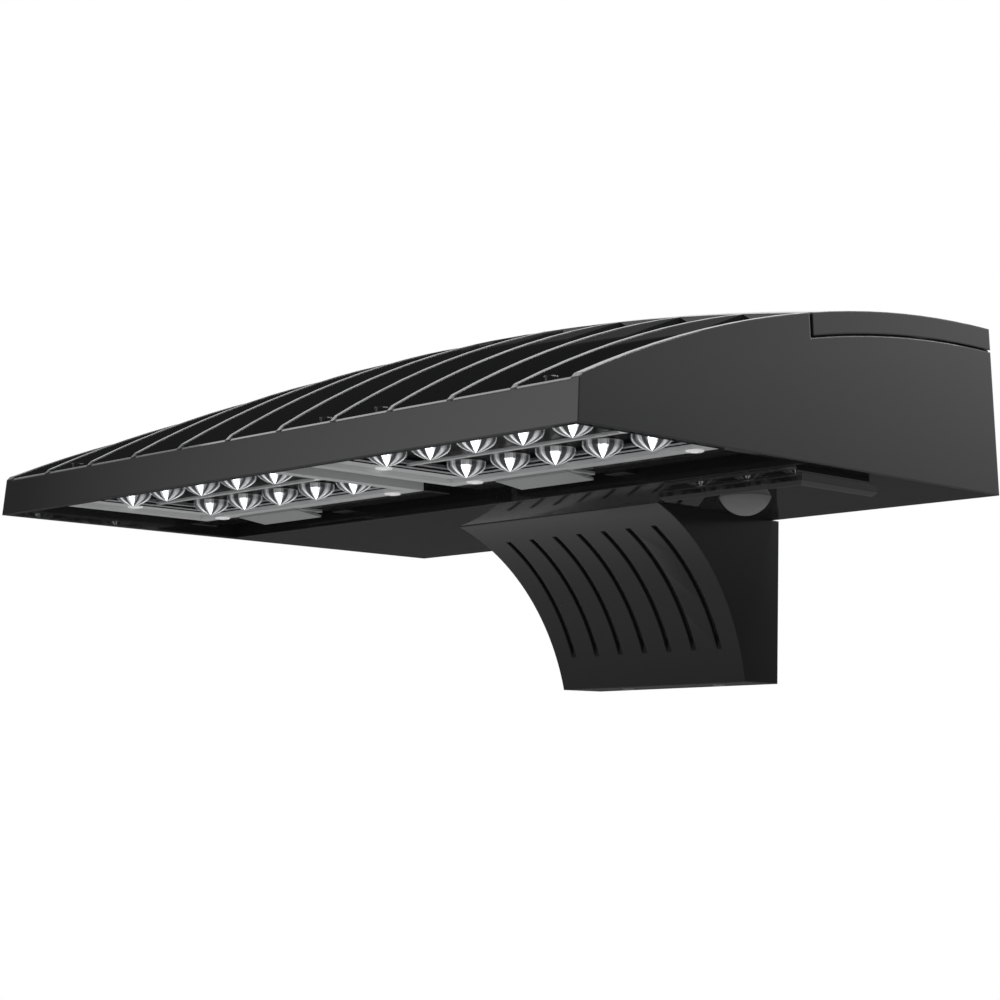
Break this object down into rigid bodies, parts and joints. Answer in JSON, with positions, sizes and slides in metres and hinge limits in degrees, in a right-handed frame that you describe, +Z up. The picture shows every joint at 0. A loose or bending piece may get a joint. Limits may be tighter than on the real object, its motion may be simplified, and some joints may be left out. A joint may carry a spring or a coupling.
{
  "type": "led wall pack",
  "caption": "Wedge-shaped LED wall pack: finned crowned housing, hinged rear cover, lens modules in an open bay, dome sensor below, flared wall bracket with a curved grooved front.",
  "frame": {"origin": "centre of the wall plate's hole pattern, on the wall face", "axes": "+X to the right along the wall seen from the front, +Y into the wall, +Z up"},
  "size_m": [0.457, 0.3422, 0.2094],
  "materials": {
    "black_paint": "die-cast, semi-gloss black powder coat",
    "silver_frame": "satin silver",
    "clear_lens": "clear moulded",
    "led_chip": "yellow phosphor",
    "circuit_board": "white solder mask",
    "black_rubber": "matt",
    "grey_foam": "matt",
    "plated_steel": "zinc plated",
    "sensor_plastic": "satin moulded",
    "sensor_dome": "translucent grey",
    "driver_case": "white enamel on a drawn case",
    "module_case": "moulded",
    "terminal_plastic": "moulded",
    "ground_green": "dyed green",
    "wire_red": "PVC sleeve",
    "wire_black": "PVC sleeve",
    "wire_white": "PVC sleeve"
  },
  "bodies": {
    "fixture": {"housing": "black_paint", "cover_gasket": "black_rubber", "cover_hinge_pins": "plated_steel", "sensor_base": "sensor_plastic", "sensor_cover": "sensor_plastic", "sensor_board": "circuit_board", "sensor_eye": "plated_steel", "sensor_screws": "plated_steel", "driver": "driver_case", "driver_screws": "plated_steel", "surge_protector": "module_case", "surge_protector_screws": "plated_steel", "sensor_pack": "module_case", "sensor_pack_screws": "plated_steel", "terminal_block": "terminal_plastic", "terminal_block_screws": "plated_steel", "ground_screw": "ground_green", "module_screws": "plated_steel", "lead_left": "wire_red", "lead_right": "wire_red", "sensor_lead": "wire_white", "sensor_pack_lead": "wire_white", "driver_lead": "wire_black", "supply_lead": "wire_black", "wall_bracket": "black_paint", "wall_seal": "grey_foam", "bracket_gasket": "black_rubber", "bracket_bolts": "plated_steel", "bracket_nuts": "plated_steel", "wire_bushing": "black_rubber", "wall_plate": "plated_steel", "plate_hooks": "plated_steel", "lock_screws": "plated_steel", "module_gasket_left": "grey_foam", "led_board_left": "circuit_board", "led_chips_left": "led_chip", "lens_plate_left": "clear_lens", "lens_frame_left": "silver_frame", "wire_cover_left": "silver_frame", "wire_grommet_left": "black_rubber", "module_gasket_right": "grey_foam", "led_board_right": "circuit_board", "led_chips_right": "led_chip", "lens_plate_right": "clear_lens", "lens_frame_right": "silver_frame", "wire_cover_right": "silver_frame", "wire_grommet_right": "black_rubber"},
    "hood": {"rear_cover": "black_paint", "cover_screws": "plated_steel"},
    "eye": {"sensor_lens": "sensor_dome"}
  },
  "joints": [
    {"name": "hood_hinge", "type": "hinge", "parent": "fixture", "child": "hood", "pos_m": [0, -0.1732, 0.13853], "axis": [1, 0, 0], "range_deg": [0, 85]},
    {"name": "lens_twist", "type": "hinge", "parent": "fixture", "child": "eye", "pos_m": [0.1725, -0.1562, 0.0382], "axis": [0, 0, 1], "range_deg": [0, 45]}
  ]
}
